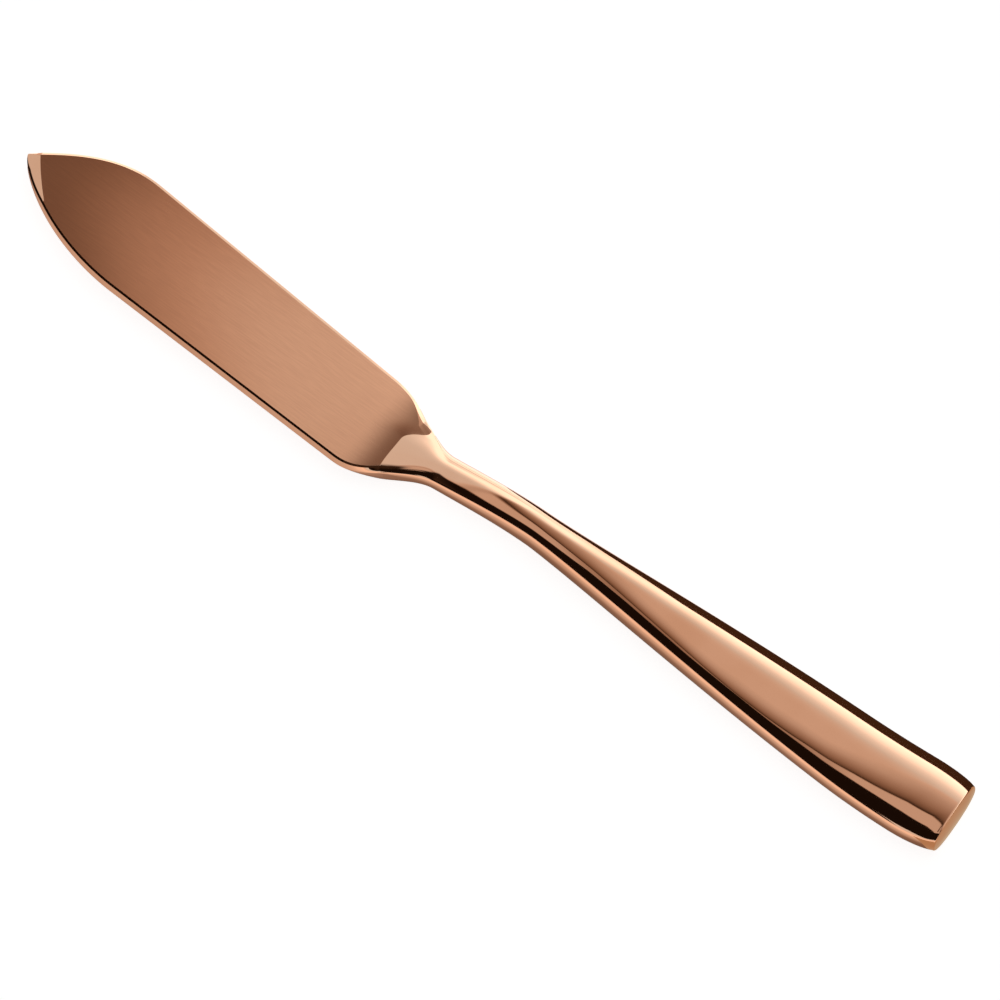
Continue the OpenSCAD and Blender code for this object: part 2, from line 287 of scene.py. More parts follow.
def run_share(fold, start, end):
    """How far a turn has come along one run of a section: 0 up to its start, 1 from its end on."""
    return limited((fold - start) / (end - start))


def forging_rings(x, turn):
    """Sections of the forging, closed by folding the turns of the back onto those of the front. On the
    blade: wall, bevel, flat face, facet, bevel and slanting wall, each a straight run. On the neck: a
    superellipse. Between them heights and places are mixed. Near the plunge line each section bows back:
    by a high power of the distance from the middle on the cutting side, by an eased step on the other."""
    fold = np.minimum(turn, 2 * half_turn - turn)
    spine_end, top_end, facet_end, bevel_end, spine_wall, facet_foot, bevel_foot = flat_corners(x)
    wall_run = run_share(fold, 0, spine_wall_turn)
    spine_run = run_share(fold, spine_wall_turn, spine_bevel_turn)
    top_run = run_share(fold, spine_bevel_turn, face_turn)
    facet_run = run_share(fold, face_turn, facet_turn)
    bevel_run = run_share(fold, facet_turn, edge_bevel_turn)
    slant_run = run_share(fold, edge_bevel_turn, half_turn)
    flat_across = 1 + (spine_end - 1) * spine_run + (top_end - spine_end) * top_run
    flat_across = flat_across + (facet_end - top_end) * facet_run
    flat_across = flat_across + (bevel_end - facet_end) * bevel_run - (1 + bevel_end) * slant_run
    flat_up = spine_wall * wall_run + (1 - spine_wall) * spine_run
    flat_up = flat_up - (1 - facet_foot) * facet_run
    flat_up = flat_up - (facet_foot - bevel_foot) * bevel_run - bevel_foot * slant_run
    share = eased((x - ramp_x) / (ramp_len + corner_end))
    spread = eased((x - plunge_x) / spread_len)
    power = mixed(bolster_power, neck_power, eased((x - ramp_x) / round_len))
    across = mixed(flat_across, rounded(fold * np.pi / half_turn, power)[0], spread)
    round_up = (1 - np.minimum(np.abs(across), 1) ** power) ** (1 / power)
    up = np.where(turn > half_turn, -1, 1) * mixed(flat_up, round_up, share)
    edge_side = edge_bow * np.abs(across) ** edge_bow_power
    spine_side = spine_bow * eased((across - bow_start) / bow_width)
    window = eased((x - ramp_x + bow_fade) / bow_fade) * (1 - eased((x - plunge_x) / bow_fade))
    bowed = x + np.where(across < 0, edge_side, spine_side) * window
    return np.stack([bowed, middle(bowed) + half_width(bowed) * across, half_thick(x) * up], -1)


def tang_rings(x, turn):
    """Sections of the tang: rectangles, narrowed on both sides by half-round notches at an even pitch."""
    fold = np.minimum(turn, 2 * half_turn - turn)
    far_side_turn = half_turn - tang_side_turn
    across = 1 - 2 * run_share(fold, tang_side_turn, far_side_turn)
    up = run_share(fold, 0, tang_side_turn) - run_share(fold, far_side_turn, half_turn)
    up = np.where(turn > half_turn, -up, up)
    pitch = tang_len / (notch_count + 1)
    from_notch = (x - spigot_end_x + pitch / 2) % pitch - pitch / 2
    in_row = (x > spigot_end_x + pitch / 2) & (x < spigot_end_x + tang_len - pitch / 2)
    notch = np.where(in_row, np.sqrt(np.maximum(notch_r**2 - from_notch**2, 0)), 0)
    y = middle(np.float64(spigot_end_x)) + (tang_w / 2 - notch) * across
    return np.stack(np.broadcast_arrays(x, y, tang_t / 2 * up), -1)


def laid_flat(rings):
    """Holds what lies behind the plunge line above the flat that the knife rests on."""
    low = rest_flat - handle_t / 2
    held = np.where(rings[..., 0] > plunge_x, np.maximum(rings[..., 2], low), rings[..., 2])
    return np.concatenate([rings[..., :2], held[..., None]], -1)


def side_quads(rows, columns, wrap_rows=False):
    """Quads between neighbouring rings, each ring closed on itself."""
    i = np.arange(rows if wrap_rows else rows - 1)[:, None]
    k = np.arange(columns)[None, :]
    next_i, next_k = (i + 1) % rows, (k + 1) % columns
    corners = [i * columns + k, i * columns + next_k, next_i * columns + next_k, next_i * columns + k]
    return np.stack(np.broadcast_arrays(*corners), -1).reshape(-1, 4).tolist()


def end_quads(first, columns, last_point, flip):
    """Quads across one ring, each joining a step on one half of it to the step facing it on the other half.
    Point k faces point last_point - k. Where the two meet at a turn, the quad is a triangle."""
    k = np.arange(columns // 2)
    quads = np.stack([k, last_point - k, last_point - k - 1, k + 1], -1) % columns + first
    quads = quads[:, ::-1] if flip else quads
    return [list(dict.fromkeys(quad)) for quad in quads.tolist()]


class Shade:
    """A socket in a node tree. Operators between these, or with numbers, add Math nodes."""

    def __init__(self, tree, socket=None):
        self.tree = tree
        self.socket = socket

    def make(self, kind, settings, inputs, output=0):
        """Adds a node, sets its settings and a ramp's stops, then fills its sockets with values or links."""
        node = self.tree.nodes.new(kind)
        for name, value in settings.items():
            if name == "stops":
                ramp = node.color_ramp.elements
                while len(ramp) < len(value):
                    ramp.new(1)
                for stop, (place, level) in zip(ramp, value):
                    stop.position = place
                    stop.color = (level, level, level, 1)
            else:
                setattr(node, name, value)
        for name, value in inputs.items():
            if isinstance(value, Shade):
                self.tree.links.new(value.socket, node.inputs[name])
            else:
                node.inputs[name].default_value = value
        return Shade(self.tree, node.outputs[output])

    def math(self, operation, a, b):
        return self.make("ShaderNodeMath", {"operation": operation}, {0: a, 1: b})

    def __add__(self, other):
        return self.math("ADD", self, other)

    def __radd__(self, other):
        return self.math("ADD", other, self)

    def __sub__(self, other):
        return self.math("SUBTRACT", self, other)

    def __rsub__(self, other):
        return self.math("SUBTRACT", other, self)

    def __mul__(self, other):
        return self.math("MULTIPLY", self, other)

    def __rmul__(self, other):
        return self.math("MULTIPLY", other, self)

    def __gt__(self, other):
        return self.math("GREATER_THAN", self, other)

    def between(self, low, high):
        """A smooth step of this value from 0 at low to 1 at high."""
        return self.make(
            "ShaderNodeMapRange",
            {"interpolation_type": "SMOOTHSTEP"},
            {"Value": self, "From Min": low, "From Max": high},
        )

    def noise(self, stretch, scale, detail):
        """Noise on the piece's own coordinates, stretched along its three axes."""
        place = self.make("ShaderNodeTexCoord", {}, {}, "Object")
        place = self.make("ShaderNodeVectorMath", {"operation": "MULTIPLY"}, {0: place, 1: stretch})
        return self.make("ShaderNodeTexNoise", {}, {"Vector": place, "Scale": scale, "Detail": detail})

    def tint(self, share, colour_a, colour_b):
        """Colour a where share is 0 and colour b where it is 1. A Mix node's colours are its sockets 6 and 7,
        and its mixed colour is output 2."""
        return self.make("ShaderNodeMix", {"data_type": "RGBA"}, {0: share, 6: colour_a, 7: colour_b}, 2)

    def scaled(self, colour, level):
        """A colour made brighter or darker by a level."""
        vector = colour if isinstance(colour, Shade) else colour[:3]
        return self.make("ShaderNodeVectorMath", {"operation": "SCALE"}, {0: vector, "Scale": level})


def new_shade(material):
    """An empty node tree for a material, and its output node."""
    material.use_nodes = True
    material.node_tree.nodes.clear()
    return Shade(material.node_tree), material.node_tree.nodes.new("ShaderNodeOutputMaterial")


rose_gold = (0.747, 0.375, 0.222, 1)
rose_gold_deep = (0.70, 0.338, 0.192, 1)
satin_gold = (0.68, 0.29, 0.154, 1)
satin_gold_deep = (0.63, 0.266, 0.142, 1)
# Painted shade: the dark colour that the satin takes on the ramp before the plunge line
painted_shade_gold = (0.26, 0.1, 0.05, 1)
even_stretch = (1, 1, 1)
haze_scale, haze_detail = 90, 4
haze_span = (0.3, 0.75)
swirl_stretch = (0.35, 1, 1)
swirl_scale, swirl_detail = 55, 1
swirl_height = 0.5
polish_rough, haze_rough = 0.035, 0.05
brushing_stretch = (0.05, 1, 1)
brushing_scale, brushing_detail = 5200, 3
brushing_span = (0.3, 0.7)
brushing_height = 0.012
grain_stretch = (0.6, 1, 1)
grain_scale, grain_detail = 2600, 2
grain_height = 0.008
satin_border = 0.08
satin_rough, brushing_rough = 0.2, 0.06
coat_bump, coat_bump_depth = 0.12, 0.0004


def coated_steel(name, with_satin):
    """Rose-gold coating on steel: mirror polished with a faint haze. Where the piece's satin_depth is above 0
    it is satin, brushed along the knife, and where its ramp_share rises, a painted shade darkens that satin."""
    material = bpy.data.materials.new(name)
    shade, output = new_shade(material)
    haze = shade.noise(even_stretch, haze_scale, haze_detail)
    swirl = shade.noise(swirl_stretch, swirl_scale, swirl_detail)
    rough = polish_rough + haze_rough * haze
    height = swirl_height * swirl
    colour = shade.tint(haze.between(*haze_span), rose_gold, rose_gold_deep)
    if with_satin:
        depth = shade.make("ShaderNodeAttribute", {"attribute_name": "satin_depth"}, {}, "Fac")
        # The ramp's darker satin colour is painted shade, mixed in by this attribute
        ramp = shade.make("ShaderNodeAttribute", {"attribute_name": "ramp_share"}, {}, "Fac")
        satin = depth.between(0, satin_border)
        brushing = shade.noise(brushing_stretch, brushing_scale, brushing_detail)
        grain = shade.noise(grain_stretch, grain_scale, grain_detail)
        rough = rough + satin * (satin_rough + brushing_rough * brushing)
        height = height + satin * (brushing_height * brushing + grain_height * grain)
        brushed = shade.tint(brushing.between(*brushing_span), satin_gold, satin_gold_deep)
        colour = shade.tint(satin, colour, shade.tint(ramp, brushed, painted_shade_gold))
    normal = shade.make(
        "ShaderNodeBump",
        {},
        {"Height": height, "Strength": coat_bump, "Distance": coat_bump_depth},
    )
    metal = shade.make(
        "ShaderNodeBsdfPrincipled",
        {},
        {"Base Color": colour, "Metallic": 1.0, "Roughness": rough, "Normal": normal},
    )
    material.node_tree.links.new(metal.socket, output.inputs["Surface"])
    return material


# Where each run of a section starts and ends, and its steps
section_runs = [
    (0, spine_wall_turn, 4),
    (spine_wall_turn, spine_bevel_turn, 12),
    (spine_bevel_turn, face_turn, 36),
    (face_turn, facet_turn, 3),
    (facet_turn, edge_bevel_turn, 6),
    (edge_bevel_turn, half_turn, 8),
]
half_turns = np.concatenate([np.linspace(*run, endpoint=False) for run in section_runs] + [[half_turn]])
turns = np.concatenate([half_turns, 2 * half_turn - half_turns[-2:0:-1]])[None, :]
first_ring_share = 1 / 15
nose_crowding = 2.2
nose_ring_count = 100
flat_ring_count = 30
bow_ring_count = 16
ramp_ring_count = 36
bolster_ring_count = 90
spigot_ring_count = 8
tang_ring_count = 13
notch_ring_count = 13
forging_x = np.unique(np.concatenate([
    edge_nose * np.linspace(first_ring_share, 1, nose_ring_count) ** nose_crowding,
    [point_len, facet_len],
    np.linspace(edge_nose, ramp_x - bow_fade, flat_ring_count),
    np.linspace(ramp_x - bow_fade, ramp_x, bow_ring_count),
    np.linspace(ramp_x, plunge_x, ramp_ring_count),
    np.linspace(plunge_x, seam_x, bolster_ring_count),
]))[:, None]
spigot_x = np.linspace(seam_x, spigot_end_x, spigot_ring_count)[:, None]
notch_places = spigot_end_x + tang_len / (notch_count + 1) * np.arange(1, notch_count + 1)
notch_steps = -notch_r * np.cos(np.linspace(0, np.pi, notch_ring_count))
tang_x = np.unique(np.concatenate([
    np.linspace(spigot_end_x, spigot_end_x + tang_len, tang_ring_count),
    (notch_places[:, None] + notch_steps).ravel(),
]))[:, None]
blade_rings = laid_flat(np.concatenate([
    forging_rings(forging_x, turns),
    handle_rings(spigot_x, turns * np.pi / half_turn, wall + film),
    tang_rings(tang_x, turns),
]))
blade_rows, blade_columns = blade_rings.shape[:2]
forging_y = blade_rings[: len(forging_x), :, 1]
plan_steps = 4001
handle_plan = np.linspace(seam_x, overall_len, plan_steps)
reach = np.concatenate([forging_y.ravel(), spine_y(handle_plan), edge_y(handle_plan)])
tip_x = cad_low[0] * mm_per_m - forging_x[0, 0]
laid_down = np.array([tip_x, -(reach.max() + reach.min()) / 2, handle_t / 2 - rest_flat])


def add_piece(name, rings, faces, material, sharp_degrees):
    """A mesh piece in metres, held inside the knife's box, shaded smooth but for the edges sharper than an
    angle, riding on the knife's one body."""
    mesh = bpy.data.meshes.new(name)
    points = np.clip((rings.reshape(-1, 3) + laid_down) / mm_per_m, cad_low, cad_high)
    mesh.from_pydata(points.tolist(), [], faces)
    mesh.validate()
    mesh.polygons.foreach_set("use_smooth", np.ones(len(mesh.polygons), bool))
    mesh.set_sharp_from_angle(angle=np.radians(sharp_degrees))
    mesh.materials.append(material)
    piece = bpy.data.objects.new(name, mesh)
    bpy.context.scene.collection.objects.link(piece)
    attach(piece, "root")
    return piece


blade_faces = (
    side_quads(blade_rows, blade_columns)
    + end_quads(0, blade_columns, blade_columns, False)
    + end_quads((blade_rows - 1) * blade_columns, blade_columns, blade_columns, True)
)
blade_steel = coated_steel("satin_and_polished_rose_gold", True)
blade_sharp_degrees = 9
blade = add_piece("forged_blade", blade_rings, blade_faces, blade_steel, blade_sharp_degrees)
# The satin covers the flat face between its bevels, and on the ramp it reaches up the spine's bevel
ramp_fold = 1.6
face_fold = np.minimum(turns, 2 * half_turn - turns)
edge_fold = np.where(forging_x < facet_len, face_turn, facet_turn)
spine_fold = mixed(spine_bevel_turn, ramp_fold, eased((forging_x - ramp_x) / ramp_len))
inside_face = np.minimum(face_fold - spine_fold, edge_fold - face_fold)
satin_depth = np.full((blade_rows, blade_columns), -1, np.float32)
satin_depth[: len(forging_x)] = np.minimum(inside_face, plunge_x - forging_x)
blade.data.attributes.new("satin_depth", "FLOAT", "POINT").data.foreach_set("value", satin_depth.ravel())
# The satin's colour holds a painted shade that darkens with an eased step towards the plunge line, along most
# of that line's bow
ramp_shade_lead = 5.8
ramp_shade_len = 5.2
ramp_bow_share = 0.7
ramp_share = np.zeros((blade_rows, blade_columns), np.float32)
ramp_place = mixed(forging_x, blade_rings[: len(forging_x), :, 0], ramp_bow_share)
ramp_share[: len(forging_x)] = eased((ramp_place - plunge_x + ramp_shade_lead) / ramp_shade_len)
blade.data.attributes.new("ramp_share", "FLOAT", "POINT").data.foreach_set("value", ramp_share.ravel())
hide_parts("blade")

# Braze ring. A thin run of brass braze that seals the bolster's shoulder to the mouth of the handle's shells,
# ground flush and polished, so that under the coating it is no more than a hairline round the neck.
braze_len = 0.2
shell_x = seam_x + braze_len
neck_point_count = 144
neck_angles = np.linspace(0, 2 * np.pi, neck_point_count + 1)[None, :-1]
braze_x = np.array([[seam_x], [shell_x], [shell_x], [seam_x]])
braze_inset = np.array([[0], [0], [wall], [wall]])
braze_rings = laid_flat(handle_rings(braze_x, neck_angles, braze_inset))
braze_faces = side_quads(len(braze_x), neck_point_count, True)
polished_steel = coated_steel("polished_rose_gold", False)
handle_sharp_degrees = 30
braze_ring = add_piece("bolster_braze", braze_rings, braze_faces, polished_steel, handle_sharp_degrees)
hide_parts("bolster_braze_ring")

# Handle shells. Two halves pressed from stainless sheet, brazed edge to edge along the sides of the handle,
# ground, mirror polished and coated. The back half has a narrow land that the knife rests on.
shell_ring_count = 120
shell_corner_ring_count = 36
shell_point_count = 91
shell_stations = np.unique(np.concatenate([
    np.linspace(shell_x, corner_x, shell_ring_count),
    np.linspace(corner_x, plate_x, shell_corner_ring_count),
]))[:, None]


def shell_half(name, first_angle):
    """Half of the handle's wall: the outer half section, then the inner one back, carried along it."""
    arc = first_angle + np.linspace(0, np.pi, shell_point_count)[None, :]
    outer = laid_flat(handle_rings(shell_stations, arc, 0))
    inner = handle_rings(shell_stations, arc[:, ::-1], wall)
    rings = np.concatenate([outer, inner], 1)
    rows, columns = rings.shape[:2]
    faces = (
        side_quads(rows, columns)
        + end_quads(0, columns, columns - 1, False)[:-1]
        + end_quads((rows - 1) * columns, columns, columns - 1, True)[:-1]
    )
    return add_piece(name, rings, faces, polished_steel, handle_sharp_degrees)


back_shell = shell_half("handle_back", np.pi)
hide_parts("handle_back_shell")
front_shell = shell_half("handle_front", 0)
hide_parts("handle_front_shell")

# Handle filler. Cement that is cast into the hollow handle and sets round the notched tang, grey and matt,
# with sand in it. The CAD solid has its true shape, so only its finish is added here.
cement_dark = (0.24, 0.22, 0.2, 1)
cement_pale = (0.36, 0.33, 0.3, 1)
cement_rough, sand_rough = 0.8, 0.15
sand_scale, sand_detail = 2400, 4
sand_bump, sand_bump_depth = 0.4, 0.0002
cement = bpy.data.materials.new("cast_cement")
cement_shade, cement_output = new_shade(cement)
sand = cement_shade.noise(even_stretch, sand_scale, sand_detail)
sand_normal = cement_shade.make(
    "ShaderNodeBump",
    {},
    {"Height": sand, "Strength": sand_bump, "Distance": sand_bump_depth},
)
cement_body = cement_shade.make(
    "ShaderNodeBsdfPrincipled",
    {},
    {
        "Base Color": cement_shade.tint(sand, cement_dark, cement_pale),
        "Roughness": cement_rough + sand_rough * sand,
        "Normal": sand_normal,
    },
)
cement.node_tree.links.new(cement_body.socket, cement_output.inputs["Surface"])
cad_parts["handle_filler"].data.materials.clear()
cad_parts["handle_filler"].data.materials.append(cement)

# Butt plate. A stainless plate that closes the handle: a step inside the shells, an edge rounded by polishing
# and a face with a slight bow, brazed in and coated with the rest.
plate_edge = 0.3
plate_bow = 0.3
plate_side_ring_count = 8
plate_edge_ring_count = 8
plate_face_ring_count = 12
rim_x = overall_len - plate_edge - plate_bow
step_inset = wall + film
edge_angle = np.linspace(0, np.pi / 2, plate_edge_ring_count + 1)[1:, None]
face_share = np.linspace(0, 1, plate_face_ring_count + 2)[1:-1, None]
face_inset = mixed(plate_edge, half_thick(np.float64(rim_x)), face_share)


def moved_rings(place, x, inset):
    """The handle's section at one place, drawn in by insets and set down at other places."""
    rings = handle_rings(np.full_like(inset, place), neck_angles, inset)
    return rings + np.stack(np.broadcast_arrays(x - place, 0, 0), -1)


plate_sides = np.linspace(plate_x, rim_x, plate_side_ring_count)[:, None]
plate_rings = laid_flat(np.concatenate([
    moved_rings(plate_x, np.array([[step_x], [plate_x]]), np.full((2, 1), step_inset)),
    handle_rings(plate_sides, neck_angles, 0),
    moved_rings(rim_x, rim_x + plate_edge * np.sin(edge_angle), plate_edge * (1 - np.cos(edge_angle))),
    moved_rings(rim_x, overall_len - plate_bow * (1 - face_share) ** 2, face_inset),
]))
plate_rows, plate_columns = plate_rings.shape[:2]
plate_faces = (
    side_quads(plate_rows, plate_columns)
    + end_quads(0, plate_columns, plate_columns, False)
    + end_quads((plate_rows - 1) * plate_columns, plate_columns, plate_columns, True)
)
butt_plate = add_piece("butt_cap", plate_rings, plate_faces, polished_steel, handle_sharp_degrees)
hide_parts("butt_plate")

# Floor. A plain sheet of paper under the knife. Seen directly it glows white, apart from the knife's soft
# shadow, and the light that it passes on is that of a middling grey. Stage sizes are in metres.
floor_half = 4
floor_z = -0.0002
paper_grey = (0.5, 0.5, 0.5, 1)
paper_glow = (0.9, 0.9, 0.9, 1)
no_glow = (0, 0, 0, 1)


def stage_sheet(name, corners, material):
    """A flat four-cornered sheet of the stage."""
    mesh = bpy.data.meshes.new(name)
    mesh.from_pydata(corners, [], [(0, 1, 2, 3)])
    mesh.materials.append(material)
    sheet = bpy.data.objects.new(name, mesh)
    bpy.context.scene.collection.objects.link(sheet)
    return sheet


def level_corners(low_x, high_x, low_y, high_y, z):
    """Corners of a level rectangle, facing up."""
    return [(low_x, low_y, z), (high_x, low_y, z), (high_x, high_y, z), (low_x, high_y, z)]


def seen_directly(shade):
    """1 for rays from the camera, a mirror or a lens, 0 for the light that surfaces pass on."""
    path = "ShaderNodeLightPath"
    camera = shade.make(path, {}, {}, "Is Camera Ray")
    glossy = shade.make(path, {}, {}, "Is Glossy Ray")
    passing = shade.make(path, {}, {}, "Is Transmission Ray")
    return (camera + glossy + passing) > 0.5


white_sheet = bpy.data.materials.new("white_sheet")
sheet_shade, sheet_output = new_shade(white_sheet)
sheet_paper = sheet_shade.make("ShaderNodeBsdfDiffuse", {}, {"Color": paper_grey})
sheet_colour = sheet_shade.tint(seen_directly(sheet_shade), no_glow, paper_glow)
sheet_glow = sheet_shade.make("ShaderNodeEmission", {}, {"Color": sheet_colour})
sheet_both = sheet_shade.make("ShaderNodeAddShader", {}, {0: sheet_paper, 1: sheet_glow})
white_sheet.node_tree.links.new(sheet_both.socket, sheet_output.inputs["Surface"])
stage_sheet("floor", level_corners(-floor_half, floor_half, -floor_half, floor_half, floor_z), white_sheet)

# Reflected cards. A studio ceiling close over the knife and cards round it, which only its polish reflects.
# From the far side the ceiling has a bright panel that fades to grey, a brown shade up to a bent line, a
# pale strip and a black half. Over the blade it is grey, and brown towards the point.
card_white = (1, 1, 1, 1)
card_brown = (1, 0.7, 0.5, 1)
card_cool = (0.9, 1.12, 1.28, 1)
brown_span = (0.05, 0.75)
bright_span = (0.78, 1)


def reflected_card(name, corners, material):
    """A sheet of the stage that is left to reflections alone."""
    card = stage_sheet(name, corners, material)
    card.visible_camera = False
    card.visible_diffuse = False
    card.visible_shadow = False
    card.visible_transmission = False
    card.visible_volume_scatter = False


def plain_card(name, colour, level):
    """The material of a card that glows in one plain colour."""
    material = bpy.data.materials.new(name)
    shade, output = new_shade(material)
    glow = shade.make("ShaderNodeEmission", {}, {"Color": colour, "Strength": level})
    material.node_tree.links.new(glow.socket, output.inputs["Surface"])
    return material


def curve(place, points):
    """A value along a place in metres, drawn through points with a colour ramp."""
    places, values = np.array(points).T
    low, high = places.min(), places.max()
    least, most = values.min(), values.max()
    stops = list(zip((places - low) / (high - low), (values - least) / (most - least)))
    share = (place - low) * (1 / (high - low))
    ramp = place.make("ShaderNodeValToRGB", {"stops": stops}, {"Fac": share})
    return ramp * (most - least) + least


def stage_place(shade):
    """Places along and across the stage, in metres."""
    place = shade.make("ShaderNodeTexCoord", {}, {}, "Object")
    along = shade.make("ShaderNodeSeparateXYZ", {}, {"Vector": place}, "X")
    return along, shade.make("ShaderNodeSeparateXYZ", {}, {"Vector": place}, "Y")


def graded_card(shade, output, level, bright):
    """A card whose glow follows a level: brown where it is dim, white at a middling level, then bright."""
    colour = shade.tint(level.between(*brown_span), card_brown, card_white)
    colour = shade.tint(level.between(*bright_span), colour, bright)
    glow = shade.make("ShaderNodeEmission", {}, {"Color": shade.scaled(colour, level)})
    shade.tree.links.new(glow.socket, output.inputs["Surface"])


# The ceiling's bright panel: levels across it, over the handle and over the neck
ceiling_card = bpy.data.materials.new("ceiling_card")
ceiling_shade, ceiling_output = new_shade(ceiling_card)
along, across = stage_place(ceiling_shade)
handle_levels = [
    (-0.6, 0.8), (0.016, 0.8), (0.027, 0.92), (0.04, 1.3), (0.05, 1.7), (0.06, 2.0), (0.095, 2.4), (0.2, 2.5),
    (0.6, 1.8),
]
neck_levels = [
    (-0.6, 0.84), (-0.03, 0.84), (-0.015, 0.94), (0, 0.94), (0.012, 0.94), (0.022, 1.12), (0.032, 1.6),
    (0.045, 2.1), (0.095, 2.2), (0.13, 2.1), (0.6, 2),
]
neck_fade = (-0.012, 0.012)
on_neck = 1 - along.between(*neck_fade)
panel = curve(across, neck_levels) * on_neck + curve(across, handle_levels) * (1 - on_neck)

# The part that the spine's bevel reflects, dimmer along the middle of the blade
spine_gains = [(-0.135, 1), (-0.115, 0.6), (-0.055, 0.6), (-0.035, 1)]
blade_side_fade = (0.07, 0.11)
spine_fade = (0.2, 0.3)
beside_blade = across.between(*blade_side_fade)
over_spine = beside_blade * (1 - across.between(*spine_fade))
panel = panel * (1 - over_spine * (1 - curve(along, spine_gains)))

# The part over the blade: levels along it, bent back at its sides and dimmer towards the spine
blade_levels = [
    (-0.3, 0.92), (-0.122, 0.92), (-0.113, 0.1), (-0.097, 0.12), (-0.091, 0.24), (-0.085, 0.6), (-0.079, 0.6),
    (-0.073, 0.66), (-0.067, 0.83), (-0.06, 1), (-0.053, 1.06), (-0.045, 1.06), (-0.038, 1), (0.3, 0.96),
]
blade_bend = [(-0.016, -0.022), (0, 0), (0.002, 0), (0.016, -0.0105)]
blade_sides = [(0.002, 1), (0.02, 0.8)]
blade_middle_y = 0.0153
blade_fade = (-0.045, -0.03)
on_blade = (1 - along.between(*blade_fade)) * (1 - beside_blade)
from_middle = across - blade_middle_y
blade_level = curve(along + curve(from_middle, blade_bend), blade_levels) * curve(from_middle, blade_sides)
panel = panel * (1 - on_blade) + blade_level * on_blade

# The brown shade that deepens up to a bent line along the handle, and the pale strip beyond the line
shade_line = [
    (-0.03, 0.08), (-0.0145, 0.026), (-0.012, 0.018), (-0.006, 0.002), (-0.001, -0.007), (0.003, -0.01),
    (0.008, -0.013), (0.012, -0.018), (0.02, -0.031), (0.028, -0.041), (0.034, -0.0425), (0.041, -0.0375),
    (0.046, -0.032), (0.05, -0.0265), (0.055, -0.0215), (0.061, -0.014), (0.066, -0.0095), (0.071, -0.004),
    (0.077, -0.0045), (0.084, -0.014), (0.094, -0.04),
]
shade_levels = [(0, 0.05), (0.006, 0.28), (0.015, 0.46), (0.025, 0.62), (0.036, 0.82), (0.05, 1)]
shade_gains = [(-0.0075, 1), (0, 0.8), (0.008, 1.25), (0.039, 1.4), (0.055, 2), (0.069, 1.6)]
shade_fade = (-0.0155, -0.011)
strip_levels = [
    (-0.01, 0.78), (0, 0.66), (0.005, 0.52), (0.012, 0.4), (0.04, 0.4), (0.049, 0.47), (0.054, 0.58),
    (0.061, 0.72),
]
line_softness = 0.002
neck_softness = 0.01
neck_softness_fade = (-0.014, 0.002)
softness = line_softness + neck_softness * (1 - along.between(*neck_softness_fade))
on_handle = along.between(*shade_fade)
from_shade = across - curve(along, shade_line)
beyond = (1 - from_shade.between(-1 * softness, 0)) * on_handle
shading = 1 - curve(from_shade * curve(along, shade_gains), shade_levels)
lit = panel * (1 - on_handle * shading)
lit = lit * (1 - beyond) + curve(along, strip_levels) * beyond

# The black half, and the pale rim past it
black_line = [
    (-0.045, -0.07), (-0.03, -0.034), (-0.018, -0.038), (-0.013, -0.035), (-0.009, -0.048), (-0.003, -0.042),
    (0.004, -0.032), (0.012, -0.035), (0.017, -0.041), (0.022, -0.049), (0.031, -0.047), (0.041, -0.044),
    (0.047, -0.039), (0.053, -0.036), (0.06, -0.03), (0.066, -0.027), (0.072, -0.026), (0.082, -0.032),
    (0.094, -0.05),
]
rim_line = [(-0.02, -1.5), (0.02, -0.8), (0.045, -0.21), (0.084, -0.2), (0.2, -0.6)]
rim_softness = 0.03
black_level = 0.012
rim_level = 1.0
in_black = 1 - (across - curve(along, black_line)).between(0, softness)
in_rim = 1 - (across - curve(along, rim_line)).between(-rim_softness, 0)
dark = black_level + rim_level * in_rim
graded_card(ceiling_shade, ceiling_output, lit * (1 - in_black) + dark * in_black, card_cool)
ceiling_place = (-0.6, 0.5, -1.6, 3)
ceiling_z = 0.05
reflected_card("ceiling", level_corners(*ceiling_place, ceiling_z), ceiling_card)

# A low dark card by the near shoulder, which is clear on the knife's side of a bent line
shoulder_line = [(-0.02, -0.007), (-0.0115, -0.0085), (-0.0099, -0.01), (-0.0083, -0.013), (-0.0065, -0.0135)]
shoulder_softness = 0.003
shoulder_levels = [(-0.013, 0.05), (-0.0075, 0.012)]
shoulder_place = (-0.02, -0.0065, -0.06, -0.004)
shoulder_z = 0.02
shoulder_dark = bpy.data.materials.new("shoulder_card")
shoulder_shade, shoulder_output = new_shade(shoulder_dark)
shoulder_along, shoulder_across = stage_place(shoulder_shade)
in_shoulder = 1 - (shoulder_across - curve(shoulder_along, shoulder_line)).between(0, shoulder_softness)
shoulder_clear = shoulder_shade.make("ShaderNodeBsdfTransparent", {}, {})
shoulder_level = curve(shoulder_along, shoulder_levels)
shoulder_colour = shoulder_shade.scaled(card_brown, shoulder_level)
shoulder_glow = shoulder_shade.make("ShaderNodeEmission", {}, {"Color": shoulder_colour})
shoulder_both = shoulder_shade.make(
    "ShaderNodeMixShader",
    {},
    {0: in_shoulder, 1: shoulder_clear, 2: shoulder_glow},
)
shoulder_dark.node_tree.links.new(shoulder_both.socket, shoulder_output.inputs["Surface"])
reflected_card("shoulder_card", level_corners(*shoulder_place, shoulder_z), shoulder_dark)

# A card on the near side with a painted shadow: dark by the knife, it brightens away from it
near_line = [
    (-0.085, 0.0), (-0.062, -0.009), (-0.02, -0.0088), (-0.008, -0.0045), (0.004, -0.003), (0.075, -0.0063),
]
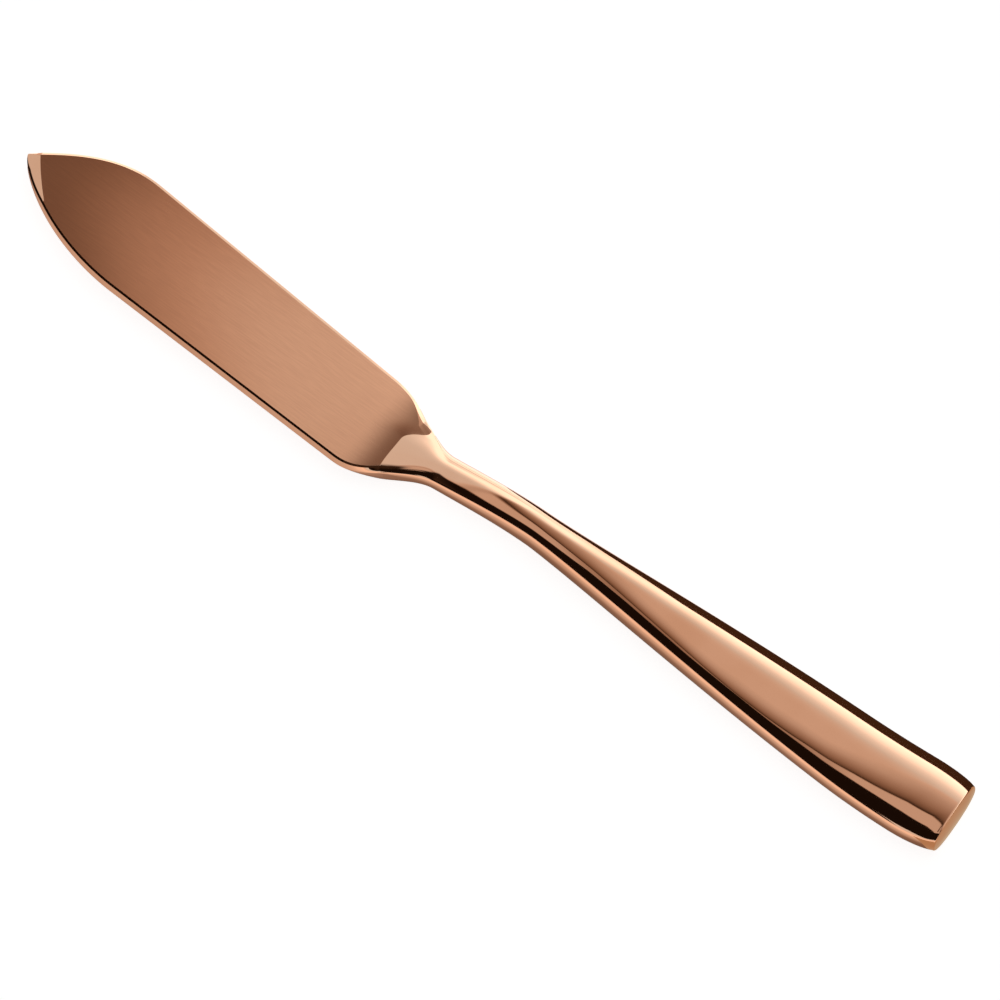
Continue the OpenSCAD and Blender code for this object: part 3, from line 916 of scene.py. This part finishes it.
# Painted shadow: the levels are lowest next to the knife
near_levels = [
    (0, 0.25), (0.003, 0.4), (0.006, 0.7), (0.012, 0.9), (0.02, 1.2), (0.05, 1.3), (0.3, 1.2), (0.6, 1.0),
]
near_place = (-0.2, 0.5, -0.6, 0.0)
near_z = floor_z / 4
near_grey = bpy.data.materials.new("near_card")
near_shade, near_output = new_shade(near_grey)
near_along, near_across = stage_place(near_shade)
near_level = curve(curve(near_along, near_line) - near_across, near_levels)
graded_card(near_shade, near_output, near_level, card_white)
reflected_card("near_card", level_corners(*near_place, near_z), near_grey)

# Cards on the far side: a bright one by the blade, and by the handle a dark one that lies and one that stands
far_z = floor_z / 2
bright_place = (-0.2, 0.0, 0.009, 3)
bright_level = 2
far_bright = plain_card("far_bright_card", card_cool, bright_level)
reflected_card("far_sheet", level_corners(*bright_place, far_z), far_bright)
dark_place = (0.0, 0.5, 0.009, 0.6)
dark_brown = (1, 0.55, 0.28, 1)
dark_level = 0.06
far_dark = plain_card("far_dark_card", dark_brown, dark_level)
reflected_card("far_card", level_corners(*dark_place, far_z), far_dark)
wall_y = 0.04
wall_top = 0.019
wall_foot_x, wall_top_x, wall_end_x = 0.004, 0.024, 0.5
wall_corners = [
    (wall_foot_x, wall_y, 0),
    (wall_end_x, wall_y, 0),
    (wall_end_x, wall_y, wall_top),
    (wall_top_x, wall_y, wall_top),
]
reflected_card("far_wall", wall_corners, far_dark)

# A tan card behind the butt
end_place = (0.084, 0.5, -0.04, 0.2)
end_z = floor_z / 5
end_colour = (0.6, 0.48, 0.33, 1)
end_level = 1
end_tan = plain_card("end_tan_card", end_colour, end_level)
reflected_card("end_card", level_corners(*end_place, end_z), end_tan)

# Studio light. One soft lamp overhead, hidden from reflections, for the floor's shadow, and a world that is
# white where it is seen directly and dim in the light that it gives.
lamp_size = 0.8
lamp_power = 1.2
lamp_place = (0.1, 0.2, 0.9)
world_dim = (0.12, 0.12, 0.12, 1)
world_white = (1, 1, 1, 1)
lamp_data = bpy.data.lights.new("soft_lamp", "AREA")
lamp_data.size = lamp_size
lamp_data.energy = lamp_power
lamp = bpy.data.objects.new("soft_lamp", lamp_data)
lamp.location = lamp_place
lamp.visible_glossy = False
bpy.context.scene.collection.objects.link(lamp)
world = bpy.data.worlds.new("white_studio")
bpy.context.scene.world = world
world.use_nodes = True
world.node_tree.nodes.clear()
world_shade = Shade(world.node_tree)
world_output = world.node_tree.nodes.new("ShaderNodeOutputWorld")
world_colour = world_shade.tint(seen_directly(world_shade), world_dim, world_white)
world_light = world_shade.make("ShaderNodeBackground", {}, {"Color": world_colour})
world.node_tree.links.new(world_light.socket, world_output.inputs["Surface"])

# Camera. A long lens, high over the near side of the knife and turned towards the butt, so far off that the
# knife shows almost no perspective.
camera_azimuth = np.radians(39.07)
camera_elevation = np.radians(68.5)
camera_roll = np.radians(-1.39)
camera_distance = 2
camera_aim = np.array([0.00278, 0.00078, 0.0036])
sensor_mm = 36
lens_mm = 497.7
back = np.array([
    np.sin(camera_azimuth) * np.cos(camera_elevation),
    -np.cos(camera_azimuth) * np.cos(camera_elevation),
    np.sin(camera_elevation),
])
level_right = np.array([np.cos(camera_azimuth), np.sin(camera_azimuth), 0])
level_up = np.cross(back, level_right)
right = np.cos(camera_roll) * level_right + np.sin(camera_roll) * level_up
up = np.cos(camera_roll) * level_up - np.sin(camera_roll) * level_right
camera_matrix = np.eye(4)
camera_matrix[:3, 0] = right
camera_matrix[:3, 1] = up
camera_matrix[:3, 2] = back
camera_matrix[:3, 3] = camera_aim + back * camera_distance
camera_data = bpy.data.cameras.new("camera")
camera_data.sensor_width = sensor_mm
camera_data.lens = lens_mm
camera = bpy.data.objects.new("camera", camera_data)
camera.matrix_world = camera_matrix.T.tolist()
bpy.context.scene.collection.objects.link(camera)
bpy.context.scene.camera = camera
bpy.context.scene.view_settings.view_transform = "Standard"
